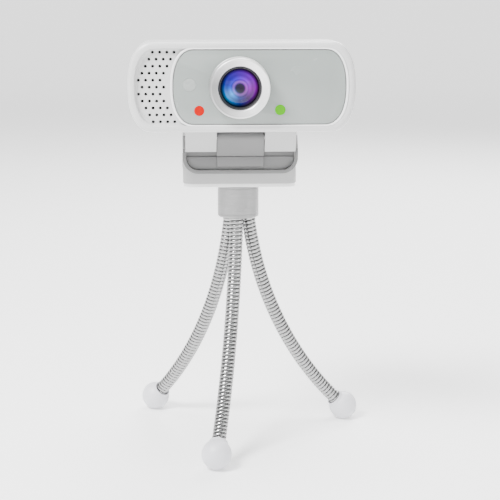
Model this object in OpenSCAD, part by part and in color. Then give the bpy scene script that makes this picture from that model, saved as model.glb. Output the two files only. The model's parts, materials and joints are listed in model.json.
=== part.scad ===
// Webcam on a flexible-leg mini tripod, with a folding monitor clip.
// Millimetres. +Z is up and the lens looks along -Y.
// Every module is drawn about the tripod's axis, and placed() then moves it to the
// frame whose origin is the middle of the whole object's footprint, on the floor.

/* [Camera head] */
// Width of the head
head_w = 96; // [90:0.5:100]
// Height of the head
head_h = 38; // [36:0.5:40]
// Depth of the head, from the front rim to the flat of the back
head_d = 36; // [34:0.5:38]
// Depth of the dished front that holds the panel
dish_depth = 2.2; // [1.8:0.1:2.6]
// Width of the grey front panel
panel_w = 72.8; // [68:0.2:74]
// Height of the grey front panel
panel_h = 31.4; // [30:0.2:32]
// Distance of the panel's middle to the right of the head's middle
panel_x = 7.4; // [6.8:0.1:7.4]

/* [Lens] */
// Distance of the lens from the head's middle
lens_x = -1.1; // [-2:0.1:0]
// Outer radius of the focus ring at its front
ring_r = 12.5; // [11.5:0.1:12.8]
// Height of the focus ring in front of the head's rim
ring_reach = 8; // [7:0.1:9]
// Outer radius of the black lens barrel
barrel_r = 9; // [8.6:0.1:9.2]

/* [Microphone grille] */
// Radius of one hole
mic_hole_r = 0.65; // [0.5:0.05:0.7]
// Distance between holes along a row
mic_pitch_x = 3; // [2.9:0.05:3]
// Distance between rows
mic_pitch_z = 2.9; // [2.8:0.05:2.9]

/* [Clip] */
// Width of the clip and of the base block
clip_w = 50.4; // [50:0.1:52]
// Depth of the base block
base_d = 43.5; // [42:0.5:43.5]
// Height of the base block
base_h = 16.6; // [15:0.1:17]
// Thickness of the clip's arm
arm_t = 6.2; // [5.8:0.1:6.2]

/* [Tripod] */
// Height of the underside of the collar
collar_z = 103; // [98:1:106]
// Height of the collar
collar_h = 15; // [13:0.1:16]
// Radius of the collar
collar_r = 9.4; // [9:0.1:9.8]
// Outer radius of the flexible hose of a leg
hose_r = 3.2; // [3:0.05:3.3]
// Radius of the circle on which the feet stand
foot_circle = 54; // [52:0.1:56]
// Radius of a ball foot
foot_r = 6.7; // [6:0.1:7]
// Turn of the three legs about the vertical
leg_turn = -12.3; // [-14:0.1:-6]

/* [Hidden] */
$fn = 64;

WHITE = [0.93, 0.93, 0.93];
PALE = [0.82, 0.82, 0.82];
PANEL_GREY = [0.74, 0.77, 0.76];
PAD_GREY = [0.42, 0.42, 0.43];
STEEL = [0.75, 0.76, 0.78];
BLACK = [0.06, 0.06, 0.07];
eps = 0.01;

// Gap between parts that turn against each other
gap = 0.3;
// Radial clearance of a shaft in its hole
run = 0.05;

// Heights of the base block, which stands on the collar
base_z = collar_z + collar_h + 1.4;
base_top = base_z + base_h;
base_back = 22;
base_front = base_back - base_d;
base_corner_r = 5;
half_w = clip_w / 2;

// Rear hinge between the base block and the arm
hinge_y = base_back + 5.3;
hinge_z = base_z + 6;
hinge_r = 4.8;
hinge_pin_r = 1.5;
ear_in = 21.6;

// Arm and lip of the clip, folded on the base block
arm_in = base_top + 0.4;
arm_top = arm_in + arm_t;
lip_in = base_front - 1.5;
lip_floor = lip_in - 2.4;
lip_out = lip_in - 4.8;
lip_bottom = base_top - 9.7;
lip_top = arm_in + 2;
lip_corner_r = 7;
lip_rim = 1.5;
cheek_in = half_w - 0.9;

// Tilt hinge at the head of the clip
tilt_y = lip_in - 6.4;
tilt_z = arm_in + 6.2;
tilt_pin_r = 1.2;
knuckle_r = 3;
mid_knuckle_r = 2.5;
mid_half = 10.2;
bracket_half = 24;
channel_r = 7;
plate_low = tilt_z + 2.7;
plate_top = tilt_z + 3.5;
flap_lean = 33;

// Swivel between the bracket and the head
disc_r = 11.5;
disc_top = plate_top + 2.5;
post_r = 3.2;
hub_low = disc_top + gap;
hub_top = hub_low + 3.1;

// Head
head_z = plate_top + gap + head_h / 2;
head_y = tilt_y;
front_y = head_y - head_d / 2;
back_y = head_y + head_d / 2;
split_y = front_y + 5.4;
wall = 1.8;
floor_y = front_y + dish_depth;
// Width of the bezel's lip on each side, and how far the panel's frame stands round the panel
lip_margin = 2.5;
frame_side = 1.1;
frame_top = 0.65;
// Case screws and the bosses that they go into
screw_r = 1;
screw_head_r = 2.2;
boss_front_r = 2.6;
boss_back_r = 3.1;
// Front glass: its radius, and the radius that its outer face is ground to
glass_r = 8.05;
glass_face_r = 15.6;
glass_front = front_y - 5.8;
lens_bore_r = 5.2;
gland_z = -5;
gland_bore_r = 1.7;
end_bulge = 0.58;
end_power = 2 / 2.3;
boss_x = 28;
boss_z = 10.2;
board_y = front_y + 13.9;
board_t = 1.6;
lamp_back = 1.2;

// Places of the indicator lamps on the panel: [x, z, radius] from the head's middle
red_at = [-18, -9.8, 2.1];
green_at = [16, -9.5, 2.2];
window_at = [-22, 1, 2.7];

// Microphone holes: how many half pitches each row starts from the leftmost hole
mic_rows = [for (row = [-5:5]) abs(abs(row) - 1)];
mic_left = -43.3;
mic_count = 4;
mic_at = [mic_left + mic_pitch_x * 3, -3 * mic_pitch_z];

// Legs: each is an arc in an upright plane, from the collar to the middle of its foot
foot_z = foot_r - 0.15;
leg_start_r = 4.8;
leg_start_angle = 7;
leg_chord_angle = atan2(foot_circle - leg_start_r, collar_z - foot_z);
leg_end_angle = 2 * leg_chord_angle - leg_start_angle;
leg_chord = norm([foot_circle - leg_start_r, collar_z - foot_z]);
leg_arc_r = leg_chord / (2 * sin((leg_end_angle - leg_start_angle) / 2));
leg_mid_angle = leg_start_angle + 0.55 * (leg_end_angle - leg_start_angle);
leg_tip_angle = leg_end_angle - 0.4;
leg_arc_mid = [leg_start_r + leg_arc_r * cos(leg_start_angle),
               collar_z + leg_arc_r * sin(leg_start_angle)];
hose_bore_r = 2.2;
socket_depth = 5;
// The hose starts inside its socket in the collar
leg_root_angle = leg_start_angle - asin((socket_depth - 0.2) / leg_arc_r);
front_leg = -90 + leg_turn;
right_leg = front_leg + 120;
left_leg = front_leg - 120;

// Middle of the whole object's footprint
mid_x = (foot_circle * cos(right_leg) + foot_r - head_w / 2) / 2;
mid_y = foot_circle * (sin(left_leg) + sin(front_leg)) / 2;

module placed() {
    translate([-mid_x, -mid_y, 0]) children();
}

// ---------- Helpers ----------

function signed_power(v, p) = sign(v) * pow(abs(v), p);

// Outline with straight top and bottom and softly squared round ends
function pill(w, h) =
    let (bulge = end_bulge * h / 2, steps = 24)
    concat(
        [for (i = [0:steps]) let (t = -90 + 180 * i / steps)
            [w / 2 - bulge + bulge * signed_power(cos(t), end_power),
             h / 2 * signed_power(sin(t), end_power)]],
        [for (i = [0:steps]) let (t = 90 + 180 * i / steps)
            [-w / 2 + bulge + bulge * signed_power(cos(t), end_power),
             h / 2 * signed_power(sin(t), end_power)]]);

// Slab of the pill outline between two depths, on the head's middle
module pill_slab(w, h, y0, y1, x = 0) {
    translate([x, y1, head_z]) rotate([90, 0, 0]) linear_extrude(y1 - y0) polygon(pill(w, h));
}

// Slab of a side profile, given as [y, z] points, between two widths
module side_slab(x0, x1, points) {
    translate([x0, 0, 0]) rotate([90, 0, 90]) linear_extrude(x1 - x0) polygon(points);
}

// Rod along X, about an axis at [y, z]
module rod_x(x0, x1, y, z, r) {
    translate([x0, y, z]) rotate([0, 90, 0]) cylinder(h = x1 - x0, r = r);
}

// Rod along Y, at a place on the head's front given from the head's middle
module rod_y(x, z, r, y0, y1) {
    translate([x, y1, head_z + z]) rotate([90, 0, 0]) cylinder(h = y1 - y0, r = r);
}

// Turned shape about the lens axis, from [radius, depth behind the front rim] points
module turned(points) {
    translate([lens_x, front_y, head_z]) rotate([-90, 0, 0]) rotate_extrude() polygon(points);
}

// Block with round upright corners, from y0 to y1 and on the middle in X
module round_block(w, y0, y1, z0, z1, r) {
    translate([-w / 2 + r, y0, z0]) cube([w - 2 * r, y1 - y0, z1 - z0]);
    translate([-w / 2, y0 + r, z0]) cube([w, y1 - y0 - 2 * r, z1 - z0]);
    for (x = [-w / 2 + r, w / 2 - r], y = [y0 + r, y1 - r])
        translate([x, y, z0]) cylinder(h = z1 - z0, r = r);
}

// Upright plate with two round lower corners
module tongue(w, y0, y1, z0, z1, r) intersection() {
    union() {
        translate([-w / 2, y0, z0 + r]) cube([w, y1 - y0, z1 - z0 - r]);
        translate([-w / 2 + r, y0, z0]) cube([w - 2 * r, y1 - y0, r + eps]);
        for (x = [-w / 2 + r, w / 2 - r])
            translate([x, y1, z0 + r]) rotate([90, 0, 0]) cylinder(h = y1 - y0, r = r);
    }
    translate([-w, y0 - 1, z0 - 1]) cube([2 * w, y1 - y0 + 2, z1 - z0 + 1]);
}

module mirrored_x() {
    children();
    mirror([1, 0, 0]) children();
}

module at_bosses() {
    for (x = [-boss_x, boss_x], z = [-boss_z, boss_z])
        translate([x, 0, head_z + z]) rotate([-90, 0, 0]) children();
}

// ---------- Camera head ----------

module front_shell() color(WHITE) difference() {
    union() {
        difference() {
            hull() {
                pill_slab(head_w - 3.6, head_h - 3.6, front_y, front_y + 0.2);
                pill_slab(head_w - 1.2, head_h - 1.2, front_y + 0.6, front_y + 0.8);
                pill_slab(head_w, head_h, front_y + 2, split_y);
            }
            pill_slab(head_w - 2 * lip_margin, head_h - 2 * lip_margin, front_y - 1, floor_y);
            pill_slab(head_w - 2 * wall, head_h - 2 * wall, floor_y + 2, split_y + 1);
        }
        translate([0, floor_y + 1, 0]) at_bosses() cylinder(h = 7, r = boss_front_r);
    }
    translate([0, floor_y + 2.4, 0]) at_bosses() cylinder(h = 8, r = screw_r + run);
    rod_y(lens_x, 0, barrel_r + gap, front_y, split_y);
    for (lamp = [red_at, green_at, window_at])
        rod_y(lamp[0], lamp[1], lamp[2] + 0.1, front_y, split_y);
    for (row = [0:10], hole = [0:mic_count - 1])
        rod_y(mic_left + mic_pitch_x * (mic_rows[row] / 2 + hole), (5 - row) * mic_pitch_z,
              mic_hole_r, front_y, split_y);
}

module rear_outer(inset) {
    hull() {
        pill_slab(head_w - inset, head_h - inset, split_y, head_y + 3);
        pill_slab(head_w - 1.2 - inset, head_h - 1.2 - inset, head_y + 8, head_y + 8.2);
        pill_slab(head_w - 5 - inset, head_h - 5 - inset, back_y - 4.2, back_y - 4);
        pill_slab(head_w - 13 - inset, head_h - 12 - inset, back_y - inset / 2 - 0.2,
                  back_y - inset / 2);
    }
}

module rear_shell() color(WHITE) difference() {
    union() {
        difference() {
            rear_outer(0);
            rear_outer(2 * wall);
            pill_slab(head_w - 2 * wall, head_h - 2 * wall, split_y - 1, split_y + 1);
        }
        intersection() {
            rear_outer(0);
            union() {
                translate([0, tilt_y, hub_low - 1]) cylinder(h = 2.4, r = disc_r + 2);
                translate([0, tilt_y, hub_low]) cylinder(h = hub_top - hub_low, r = 6.5);
            }
        }
        translate([0, floor_y + 8.2, 0]) at_bosses() cylinder(h = back_y - 3 - floor_y - 8.2, r = boss_back_r);
    }
    translate([0, tilt_y, plate_top - 1]) cylinder(h = hub_low - plate_top + 1, r = disc_r + gap);
    translate([0, tilt_y, hub_low - 1]) cylinder(h = 6, r = post_r + run);
    translate([0, floor_y, 0]) at_bosses() cylinder(h = head_d, r = screw_r + gap);
    translate([0, floor_y + 12, 0]) at_bosses() cylinder(h = head_d, r = screw_head_r + gap);
    translate([0, back_y + 1, head_z + gland_z]) rotate([90, 0, 0]) cylinder(h = 5, r = 2.6);
}

module panel_rim() color(WHITE) difference() {
    pill_slab(panel_w + 2 * frame_side, panel_h + 2 * frame_top, front_y - 0.1, floor_y, panel_x);
    pill_slab(panel_w, panel_h, front_y - 1, floor_y + 1, panel_x);
}

module front_panel() color(PANEL_GREY) difference() {
    pill_slab(panel_w, panel_h, front_y + 0.2, floor_y, panel_x);
    rod_y(lens_x, 0, barrel_r + gap, front_y - 1, floor_y + 1);
    for (lamp = [red_at, green_at, window_at])
        rod_y(lamp[0], lamp[1], lamp[2] + run, front_y - 1, floor_y + 1);
}

module ring_seal() color(BLACK) difference() {
    rod_y(lens_x, 0, ring_r - 0.6, front_y - 0.2, front_y + 0.2);
    rod_y(lens_x, 0, barrel_r + gap, front_y - 1, front_y + 1);
}

module lens_barrel() color(BLACK) {
    turned([[barrel_r, -6.4], [barrel_r, 4.4], [11, 4.4], [11, 5.6], [8, 5.6], [8, 13.9],
            [6, 13.9], [6, 9], [4.2, 9], [4.2, 5], [lens_bore_r, 5], [lens_bore_r, -2.5],
            [glass_r + run, -2.5], [glass_r + run, -5.2], [barrel_r - 0.4, -6.4]]);
}

module front_lens() color([0.16, 0.12, 0.45]) intersection() {
    rod_y(lens_x, 0, glass_r, front_y - 6, front_y - 2.55);
    translate([lens_x, glass_front + glass_face_r, head_z]) sphere(r = glass_face_r, $fn = 96);
}

module inner_lens() color([0.2, 0.2, 0.5]) {
    rod_y(lens_x, 0, lens_bore_r - run, front_y - 2.3, front_y + 1.4);
}

module rear_lens() color([0.2, 0.2, 0.5]) {
    rod_y(lens_x, 0, lens_bore_r - run, front_y + 1.8, front_y + 4.8);
}

module ir_filter() color([0.5, 0.2, 0.3]) {
    translate([lens_x - 3.5, front_y + 9.1, head_z - 3.5]) cube([7, 0.6, 7]);
}

module image_sensor() color([0.2, 0.25, 0.3]) {
    translate([lens_x - 3.6, board_y - 1.2, head_z - 3.6]) cube([7.2, 1.2, 7.2]);
}

module main_board() color([0.05, 0.3, 0.15]) {
    translate([-40, board_y, head_z - 6.8]) cube([80, board_t, 13.6]);
}

module board_chips() color(BLACK) {
    for (chip = [[-24, -5, 10, 10], [12, -4, 8, 8], [26, 0, 5, 4], [-6, 2, 4, 3]])
        translate([chip[0], board_y + board_t, head_z + chip[1]]) cube([chip[2], 1, chip[3]]);
    translate([0, board_y + board_t, head_z - 6.5]) cube([9, 4, 5]);
}

module microphone() color(STEEL) {
    rod_y(mic_at[0], mic_at[1], 2.2, floor_y + 2.6, floor_y + 4.8);
}

module mic_felt() color(BLACK) intersection() {
    pill_slab(head_w - 2 * wall - 1, head_h - 2 * wall - 1, floor_y + 2, floor_y + 2.5);
    translate([-head_w / 2, floor_y, head_z - 16]) cube([head_w / 2 - 31.2, 5, 32]);
}

module lamp(place, tint) color(tint) {
    rod_y(place[0], place[1], place[2], front_y + 0.1, board_y - lamp_back);
}

module red_lamp() lamp(red_at, [0.95, 0.2, 0.12]);
module green_lamp() lamp(green_at, [0.5, 0.9, 0.1]);
module light_window() lamp(window_at, [0.85, 0.87, 0.87]);

module shell_screws() color(STEEL) {
    translate([0, floor_y + 3, 0]) at_bosses() cylinder(h = 9.1, r = screw_r);
    translate([0, floor_y + 12.05, 0]) at_bosses() cylinder(h = 1.6, r = screw_head_r);
}

module cable_gland() color(PALE) translate([0, back_y - 1.8, head_z + gland_z]) rotate([-90, 0, 0])
difference() {
    union() {
        cylinder(h = 1.9, r = 2.55);
        translate([0, 0, 1.8]) cylinder(h = 1.2, r = 4.2);
        translate([0, 0, 2.9]) cylinder(h = 3.2, r1 = 3.3, r2 = 2.7);
    }
    translate([0, 0, -1]) cylinder(h = 9, r = gland_bore_r);
}

// ---------- Focus ring ----------

module focus_ring() color(STEEL) {
    turned([[barrel_r + run, -0.3], [ring_r + 0.3, -0.3], [ring_r, 0.9 - ring_reach],
            [ring_r - 0.5, 0.1 - ring_reach], [ring_r - 0.8, -ring_reach],
            [barrel_r + 0.6, 0.9 - ring_reach], [barrel_r + run, 1.4 - ring_reach]]);
}

// ---------- Tilt bracket ----------

// Point on the flap: d is the distance from the hinge axis, s runs down the flap
function flap_point(d, s) =
    [tilt_y - d * cos(flap_lean) + s * sin(flap_lean),
     tilt_z - d * sin(flap_lean) - s * cos(flap_lean)];

module tilt_bracket() color(PALE) difference() {
    union() {
        translate([-bracket_half, tilt_y - 5, plate_low])
            cube([2 * bracket_half, 10, plate_top - plate_low]);
        translate([0, tilt_y, plate_top - eps]) cylinder(h = disc_top - plate_top + eps, r = disc_r);
        translate([0, tilt_y, disc_top - eps]) cylinder(h = hub_top + gap - disc_top, r = post_r);
        mirrored_x() {
            rod_x(mid_half + gap, bracket_half, tilt_y, tilt_z, knuckle_r);
            side_slab(mid_half + gap, bracket_half,
                [[tilt_y - knuckle_r, tilt_z], [tilt_y + knuckle_r, tilt_z],
                 [tilt_y + knuckle_r, plate_top], [tilt_y - knuckle_r, plate_top]]);
            side_slab(mid_half + gap, bracket_half,
                [flap_point(3, 5.8), flap_point(1.4, 5.6), flap_point(1.4, -5.2),
                 [tilt_y - 4, plate_top], [tilt_y - 5.8, plate_top], flap_point(3, -6)]);
        }
    }
    rod_x(-bracket_half - 1, bracket_half + 1, tilt_y, tilt_z, tilt_pin_r);
    translate([0, tilt_y, disc_top - 1]) cylinder(h = 6, r = 1.2);
}

module tilt_pin() color(STEEL) {
    rod_x(-bracket_half - 0.1, bracket_half + 0.1, tilt_y, tilt_z, tilt_pin_r);
}

module swivel_washer() color(STEEL) translate([0, tilt_y, hub_top + gap]) difference() {
    cylinder(h = 0.8, r = 5.5);
    translate([0, 0, -1]) cylinder(h = 3, r = 1.3);
}

module swivel_screw() color(STEEL) translate([0, tilt_y, disc_top - 0.9]) {
    cylinder(h = hub_top + gap + 0.9 - disc_top, r = 1.15);
    translate([0, 0, hub_top + gap + 0.8 - disc_top]) cylinder(h = 1, r = 1.15);
    translate([0, 0, hub_top + gap + 1.7 - disc_top]) cylinder(h = 1.5, r = 2.4);
}

// ---------- Clip ----------

module clip_body() difference() {
    union() {
        side_slab(-half_w, half_w,
            [[lip_in, lip_top - 2], [base_back + 0.4, arm_in], [base_back + 0.4, hinge_z + 5.4],
             [hinge_y + 4, hinge_z + 5.4], [hinge_y + 2.6, arm_top - 3], [hinge_y - 1.6, arm_top],
             [tilt_y + 6, arm_top], [lip_out, lip_top - 1], [lip_out, lip_top - 2]]);
        tongue(clip_w, lip_out, lip_in, lip_bottom, lip_top - 1, lip_corner_r);
        mirrored_x() {
            rod_x(9.9, ear_in - gap, hinge_y, hinge_z, hinge_r - 0.2);
            side_slab(9.9, ear_in - gap,
                [[base_back + 0.7, hinge_z], [base_back + 0.5, hinge_z + 6],
                 [hinge_y + 4, hinge_z + 6], [hinge_y + 4.6, hinge_z]]);
        }
    }
    // Channel in which the bracket's flaps swing
    mirrored_x() rod_x(mid_half, cheek_in, tilt_y, tilt_z, channel_r);
    // Nothing of the middle stays in front of the tilt axis but its knuckle
    rod_x(-mid_half - eps, mid_half + eps, tilt_y, tilt_z, channel_r);
    // Tray in the outer face of the lip
    tongue(clip_w - 2 * lip_rim, lip_out - 1, lip_floor, lip_bottom + lip_rim, lip_top + 6,
           lip_corner_r - lip_rim);
    // Pockets for the arm's pad and the lip's pad
    round_block(43, -17, 19, arm_in - 1, arm_in + 1.2, 3);
    translate([-20, lip_in - 1, lip_bottom + 2]) cube([40, 2, 6.5]);
    // Room for the hinge sleeve and the base's ears
    rod_x(-9.9, 9.9, hinge_y, hinge_z, hinge_r + 0.5);
    rod_x(-hinge_pin_r - half_w, half_w + 1, hinge_y, hinge_z, hinge_pin_r + run);
}

module clip_knuckle() difference() {
    union() {
        rod_x(-mid_half, mid_half, tilt_y, tilt_z, mid_knuckle_r);
        side_slab(-mid_half, mid_half,
            [[tilt_y - 1.9, tilt_z - 1.6], [lip_floor - 1.4, lip_top - 4.5],
             [lip_floor + 0.4, lip_top - 4.5], [lip_in - 0.6, arm_in + 0.6],
             [tilt_y + 8, arm_in + 1.5], [tilt_y + 8, arm_top], [tilt_y + 0.8, tilt_z + 2.36]]);
    }
    rod_x(-mid_half - 1, mid_half + 1, tilt_y, tilt_z, tilt_pin_r + run);
}

module clip_frame() color(PALE) {
    clip_body();
    clip_knuckle();
}

module hinge_sleeve() color(PAD_GREY) difference() {
    rod_x(-9.6, 9.6, hinge_y, hinge_z, hinge_r + 0.3);
    rod_x(-10, 10, hinge_y, hinge_z, hinge_pin_r + run);
}

module lip_inlay() color([0.68, 0.68, 0.68]) {
    tongue(clip_w - 2 * lip_rim - 0.2, lip_floor - 0.7, lip_floor, lip_bottom + lip_rim + 0.1,
           lip_top - 4.6, lip_corner_r - lip_rim - 0.1);
    translate([-mid_half, lip_floor - 1.7, lip_bottom + 3])
        cube([2 * mid_half, 1.1, lip_top - 4.6 - lip_bottom - 3]);
}

module lip_pad() color(PAD_GREY) {
    translate([-19.9, lip_in - 1, lip_bottom + 2.1]) cube([39.8, 1, 6.3]);
}

module arm_pad() color(PAD_GREY) {
    round_block(42.6, -16.8, 18.8, arm_in + 0.15, arm_in + 1.2, 2.9);
}

// ---------- Base block ----------

module base_shell() color(PALE) difference() {
    union() {
        difference() {
            round_block(clip_w, base_front, base_back, base_z + 1.6, base_top, base_corner_r);
            round_block(clip_w - 5, base_front + 2.5, base_back - 2.5, base_z, base_top - 3.2, 3);
        }
        at_base_screws() translate([0, 0, 1.8]) cylinder(h = base_h - 4.9, r = 2.6);
        mirrored_x() {
            rod_x(ear_in, half_w, hinge_y, hinge_z, hinge_r);
            translate([ear_in, base_back - 6, hinge_z - 4])
                cube([half_w - ear_in, 6 + hinge_y - base_back, 8]);
        }
    }
    at_base_screws() translate([0, 0, 1]) cylinder(h = 8, r = 1.15);
    round_block(clip_w - 3, base_front + 1.5, base_back - 1.5, base_top - 1.2, base_top + 1, 4);
    rod_x(-half_w - 1, half_w + 1, hinge_y, hinge_z, hinge_pin_r);
}

module base_pad() color(PAD_GREY) {
    round_block(clip_w - 3.4, base_front + 1.7, base_back - 1.7, base_top - 1.2, base_top, 3.8);
}

module at_base_screws() {
    for (x = [-18, 18], y = [base_front + 7, base_back - 7])
        translate([x, y, base_z]) children();
}

module base_floor() color(WHITE) difference() {
    round_block(clip_w - 0.8, base_front + 0.4, base_back - 0.4, base_z, base_z + 1.6,
                base_corner_r - 0.4);
    translate([0, 0, base_z - 1]) cylinder(h = 4, r = 5.2);
    at_base_screws() translate([0, 0, -1]) cylinder(h = 4, r = 1.3);
    at_base_screws() translate([0, 0, -1]) cylinder(h = 1.8, r = 2.3);
}

module ballast_plate() color(STEEL) difference() {
    round_block(34, base_front + 12, base_back - 11, base_z + 3.6, base_z + 8, 2);
    translate([0, 0, base_z]) cylinder(h = 12, r = 5.4);
}

module thread_insert() color([0.8, 0.65, 0.3]) difference() {
    union() {
        translate([0, 0, base_z]) cylinder(h = base_h - 3.3, r = 5.15);
        translate([0, 0, base_z + 1.7]) cylinder(h = 1.8, r = 8);
    }
    translate([0, 0, base_z - 1]) cylinder(h = 9.5, r = 3.175 + run);
}

module base_screws() color(STEEL) {
    at_base_screws() translate([0, 0, 0.1]) cylinder(h = 0.7, r = 2.2);
    at_base_screws() translate([0, 0, 0.7]) cylinder(h = 7, r = 1.1);
}

module hinge_pin() color(STEEL) {
    rod_x(-half_w + 0.6, half_w - 0.6, hinge_y, hinge_z, hinge_pin_r);
}

module hinge_caps() color(WHITE) mirrored_x() {
    rod_x(half_w - 0.6, half_w + 0.4, hinge_y, hinge_z, hinge_pin_r);
    rod_x(half_w, half_w + 0.4, hinge_y, hinge_z, 3.6);
}

// ---------- Tripod ----------

// Stretch of a leg's arc, between two angles from the vertical
module leg_arc(from, to, r) {
    translate([leg_arc_mid[0], 0, leg_arc_mid[1]]) rotate([90, 0, 0]) rotate([0, 0, 180 + from])
        rotate_extrude(angle = to - from) translate([leg_arc_r, 0]) circle(r = r);
}

module hose_upper(turn) color(STEEL) rotate([0, 0, turn]) difference() {
    leg_arc(leg_root_angle, leg_mid_angle, hose_r);
    leg_arc(leg_root_angle, leg_mid_angle, hose_bore_r);
}

module hose_lower(turn) color(STEEL) rotate([0, 0, turn]) difference() {
    leg_arc(leg_mid_angle + 0.12, leg_tip_angle, hose_r);
    leg_arc(leg_mid_angle + 0.12, leg_tip_angle, hose_bore_r);
}

module foot(turn) color(WHITE) rotate([0, 0, turn]) difference() {
    translate([foot_circle, 0, foot_z]) sphere(r = foot_r);
    translate([foot_circle, 0, foot_z]) rotate([0, -leg_end_angle, 0])
        cylinder(h = 8, r = hose_r + 0.25);
    translate([foot_circle - 10, -10, -20]) cube([20, 20, 20]);
}

module hose_upper_front() hose_upper(front_leg);
module hose_upper_right() hose_upper(right_leg);
module hose_upper_left() hose_upper(left_leg);
module hose_lower_front() hose_lower(front_leg);
module hose_lower_right() hose_lower(right_leg);
module hose_lower_left() hose_lower(left_leg);
module foot_front() foot(front_leg);
module foot_right() foot(right_leg);
module foot_left() foot(left_leg);

module collar() color(STEEL) difference() {
    translate([0, 0, collar_z]) cylinder(h = collar_h, r = collar_r);
    for (turn = [front_leg, right_leg, left_leg]) rotate([0, 0, turn])
        translate([leg_start_r, 0, collar_z]) rotate([0, -leg_start_angle, 0])
            translate([0, 0, -2]) cylinder(h = socket_depth + 2.2, r = hose_r + 0.1);
    translate([0, 0, collar_z + 7]) cylinder(h = collar_h, r = 3.175);
}

module tripod_stud() color(STEEL) {
    translate([0, 0, collar_z + 7]) cylinder(h = collar_h + 1.4 - 7 + 6.5, r = 3.175);
}

module stud_washer() color(PAD_GREY) translate([0, 0, collar_z + collar_h]) difference() {
    cylinder(h = 1.2, r = 7.6);
    translate([0, 0, -1]) cylinder(h = 4, r = 3.2);
}

placed() front_shell();
placed() rear_shell();
placed() panel_rim();
placed() front_panel();
placed() ring_seal();
placed() lens_barrel();
placed() front_lens();
placed() inner_lens();
placed() rear_lens();
placed() ir_filter();
placed() image_sensor();
placed() main_board();
placed() board_chips();
placed() microphone();
placed() mic_felt();
placed() red_lamp();
placed() green_lamp();
placed() light_window();
placed() shell_screws();
placed() cable_gland();
placed() focus_ring();
placed() tilt_bracket();
placed() tilt_pin();
placed() swivel_washer();
placed() swivel_screw();
placed() clip_frame();
placed() hinge_sleeve();
placed() lip_inlay();
placed() lip_pad();
placed() arm_pad();
placed() base_shell();
placed() base_pad();
placed() base_floor();
placed() ballast_plate();
placed() thread_insert();
placed() base_screws();
placed() hinge_pin();
placed() hinge_caps();
placed() collar();
placed() tripod_stud();
placed() stud_washer();
placed() hose_upper_front();
placed() hose_upper_right();
placed() hose_upper_left();
placed() hose_lower_front();
placed() hose_lower_right();
placed() hose_lower_left();
placed() foot_front();
placed() foot_right();
placed() foot_left();
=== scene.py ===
"""Webcam on a flexible-leg mini tripod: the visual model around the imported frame.

Metres, +Z up, the lens looks along -Y.  Every place is worked out from the boxes of
the CAD nodes, and MM turns millimetres into metres.
"""

import json
import math

import bmesh
import bpy
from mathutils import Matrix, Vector


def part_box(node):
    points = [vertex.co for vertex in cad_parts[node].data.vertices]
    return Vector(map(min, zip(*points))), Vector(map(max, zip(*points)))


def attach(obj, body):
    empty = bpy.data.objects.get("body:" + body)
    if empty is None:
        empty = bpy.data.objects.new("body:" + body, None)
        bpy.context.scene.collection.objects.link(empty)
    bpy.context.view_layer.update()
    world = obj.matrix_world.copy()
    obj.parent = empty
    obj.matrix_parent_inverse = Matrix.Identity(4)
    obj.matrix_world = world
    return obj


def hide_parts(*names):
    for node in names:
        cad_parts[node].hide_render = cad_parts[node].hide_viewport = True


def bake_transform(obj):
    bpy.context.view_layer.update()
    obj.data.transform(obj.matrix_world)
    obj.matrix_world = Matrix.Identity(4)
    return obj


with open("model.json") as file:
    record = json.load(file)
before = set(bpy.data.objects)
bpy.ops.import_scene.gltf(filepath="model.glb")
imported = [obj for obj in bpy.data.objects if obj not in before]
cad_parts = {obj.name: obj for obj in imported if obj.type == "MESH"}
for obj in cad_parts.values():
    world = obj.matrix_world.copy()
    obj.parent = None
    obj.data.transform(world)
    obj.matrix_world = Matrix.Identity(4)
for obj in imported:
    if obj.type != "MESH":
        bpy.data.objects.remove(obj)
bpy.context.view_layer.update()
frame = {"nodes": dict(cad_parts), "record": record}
MM = 0.001


# ---------------------------------------------------------------- places from the frame

def box_mid(node):
    low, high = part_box(node)
    return [(a + b) / 2 for a, b in zip(low, high)]


FRONT_LOW, FRONT_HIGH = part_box("front_shell")
REAR_LOW, REAR_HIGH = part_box("rear_shell")
PANEL_LOW, PANEL_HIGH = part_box("front_panel")
HEAD_X = (FRONT_LOW[0] + FRONT_HIGH[0]) / 2
HEAD_Z = (FRONT_LOW[2] + FRONT_HIGH[2]) / 2
HEAD_W = FRONT_HIGH[0] - FRONT_LOW[0]
HEAD_H = FRONT_HIGH[2] - FRONT_LOW[2]
FRONT_Y = FRONT_LOW[1]
SPLIT_Y = REAR_LOW[1]
BACK_Y = REAR_HIGH[1]
DISH_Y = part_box("panel_rim")[1][1]
LENS_X, _, LENS_Z = box_mid("focus_ring")
RING_LOW, RING_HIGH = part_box("focus_ring")
RING_R = (RING_HIGH[0] - RING_LOW[0]) / 2
GLASS_LOW, GLASS_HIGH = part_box("front_lens")
GLASS_R = (GLASS_HIGH[0] - GLASS_LOW[0]) / 2 - 0.03 * MM
FOOT_LOW, FOOT_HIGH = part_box("foot_front")
FOOT_R = (FOOT_HIGH[0] - FOOT_LOW[0]) / 2

SHELL_WALL = 1.8 * MM
MIC_HOLE_R = 0.65 * MM
LEG_NAMES = ("front", "right", "left")
LEG_ROOT = 4.8 * MM
LEG_ROOT_TURN = math.radians(7.0)
HOSE_R = 3.2 * MM
WIRE_PITCH = 1.75 * MM
WIRE_GROOVE = 0.62 * MM
RINGS_PER_TURN = 8
# share of each wire turn, at the groove, that is painted as shade
GROOVE_SHADE_PHASE = 0.11


# ---------------------------------------------------------------- materials

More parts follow.
